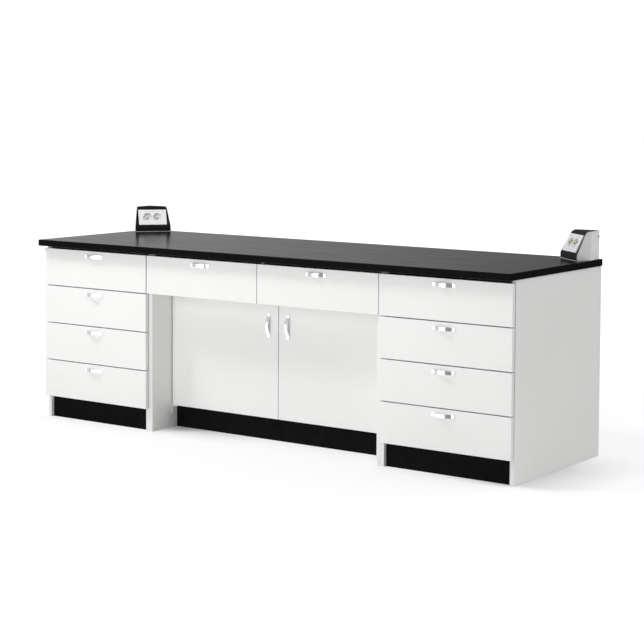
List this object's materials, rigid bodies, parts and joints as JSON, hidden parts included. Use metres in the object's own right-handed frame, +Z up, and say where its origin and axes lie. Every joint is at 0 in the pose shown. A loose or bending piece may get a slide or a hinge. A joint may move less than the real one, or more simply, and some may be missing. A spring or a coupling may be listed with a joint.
{
  "type": "laboratory bench",
  "caption": "Long laboratory bench with a black worktop, drawer pedestals at both ends, drawers over a knee recess, a recessed two-door cupboard and corner socket boxes.",
  "frame": {"origin": "on the floor under the middle of the worktop", "axes": "+X along the bench to its right end, +Y to the rear, so the drawers open towards -Y, +Z up"},
  "size_m": [2.4, 0.75, 0.9153],
  "materials": {
    "white_board": "satin white melamine",
    "drawer_white": "satin white melamine",
    "worktop_black": "fine-textured black laminate",
    "plinth_black": "matt black",
    "handle_chrome": "satin chrome",
    "pivot_steel": "zinc plated",
    "socket_grey": "matt light grey",
    "socket_black": "satin black",
    "socket_white": "satin white"
  },
  "bodies": {
    "carcass": {"worktop": "worktop_black", "left_end_panel": "white_board", "left_inner_panel": "white_board", "left_knee_panel": "white_board", "left_pedestal_bottom": "white_board", "left_plinth": "plinth_black", "right_end_panel": "white_board", "right_inner_panel": "white_board", "right_knee_panel": "white_board", "right_pedestal_bottom": "white_board", "right_plinth": "plinth_black", "drawer_deck": "white_board", "drawer_divider": "white_board", "cupboard_bottom": "white_board", "cupboard_plinth": "plinth_black", "back_panel": "white_board", "left_door_lower_pivot": "pivot_steel", "left_door_upper_pivot": "pivot_steel", "left_socket_housing": "socket_grey", "left_socket_hood": "socket_black", "left_socket_plate": "socket_white", "right_door_lower_pivot": "pivot_steel", "right_door_upper_pivot": "pivot_steel", "right_socket_housing": "socket_grey", "right_socket_hood": "socket_black", "right_socket_plate": "socket_white"},
    "left_drawer_1": {"left_drawer_1_front": "white_board", "left_drawer_1_box": "drawer_white", "left_drawer_1_handle": "handle_chrome"},
    "left_drawer_2": {"left_drawer_2_front": "white_board", "left_drawer_2_box": "drawer_white", "left_drawer_2_handle": "handle_chrome"},
    "left_drawer_3": {"left_drawer_3_front": "white_board", "left_drawer_3_box": "drawer_white", "left_drawer_3_handle": "handle_chrome"},
    "left_drawer_4": {"left_drawer_4_front": "white_board", "left_drawer_4_box": "drawer_white", "left_drawer_4_handle": "handle_chrome"},
    "right_drawer_1": {"right_drawer_1_front": "white_board", "right_drawer_1_box": "drawer_white", "right_drawer_1_handle": "handle_chrome"},
    "right_drawer_2": {"right_drawer_2_front": "white_board", "right_drawer_2_box": "drawer_white", "right_drawer_2_handle": "handle_chrome"},
    "right_drawer_3": {"right_drawer_3_front": "white_board", "right_drawer_3_box": "drawer_white", "right_drawer_3_handle": "handle_chrome"},
    "right_drawer_4": {"right_drawer_4_front": "white_board", "right_drawer_4_box": "drawer_white", "right_drawer_4_handle": "handle_chrome"},
    "centre_drawer_left": {"centre_drawer_left_front": "white_board", "centre_drawer_left_box": "drawer_white", "centre_drawer_left_handle": "handle_chrome"},
    "centre_drawer_right": {"centre_drawer_right_front": "white_board", "centre_drawer_right_box": "drawer_white", "centre_drawer_right_handle": "handle_chrome"},
    "left_door": {"left_door": "white_board", "left_door_handle": "handle_chrome"},
    "right_door": {"right_door": "white_board", "right_door_handle": "handle_chrome"}
  },
  "joints": [
    {"name": "left_drawer_1_slide", "type": "slide", "parent": "carcass", "child": "left_drawer_1", "axis": [0, -1, 0], "range_m": [0, 0.4]},
    {"name": "left_drawer_2_slide", "type": "slide", "parent": "carcass", "child": "left_drawer_2", "axis": [0, -1, 0], "range_m": [0, 0.4]},
    {"name": "left_drawer_3_slide", "type": "slide", "parent": "carcass", "child": "left_drawer_3", "axis": [0, -1, 0], "range_m": [0, 0.4]},
    {"name": "left_drawer_4_slide", "type": "slide", "parent": "carcass", "child": "left_drawer_4", "axis": [0, -1, 0], "range_m": [0, 0.4]},
    {"name": "right_drawer_1_slide", "type": "slide", "parent": "carcass", "child": "right_drawer_1", "axis": [0, -1, 0], "range_m": [0, 0.4]},
    {"name": "right_drawer_2_slide", "type": "slide", "parent": "carcass", "child": "right_drawer_2", "axis": [0, -1, 0], "range_m": [0, 0.4]},
    {"name": "right_drawer_3_slide", "type": "slide", "parent": "carcass", "child": "right_drawer_3", "axis": [0, -1, 0], "range_m": [0, 0.4]},
    {"name": "right_drawer_4_slide", "type": "slide", "parent": "carcass", "child": "right_drawer_4", "axis": [0, -1, 0], "range_m": [0, 0.4]},
    {"name": "centre_drawer_left_slide", "type": "slide", "parent": "carcass", "child": "centre_drawer_left", "axis": [0, -1, 0], "range_m": [0, 0.4]},
    {"name": "centre_drawer_right_slide", "type": "slide", "parent": "carcass", "child": "centre_drawer_right", "axis": [0, -1, 0], "range_m": [0, 0.4]},
    {"name": "left_door_hinge", "type": "hinge", "parent": "carcass", "child": "left_door", "pos_m": [-0.5715, -0.186, 0], "axis": [0, 0, -1], "range_deg": [0, 88]},
    {"name": "right_door_hinge", "type": "hinge", "parent": "carcass", "child": "right_door", "pos_m": [0.5715, -0.186, 0], "axis": [0, 0, 1], "range_deg": [0, 88]}
  ]
}
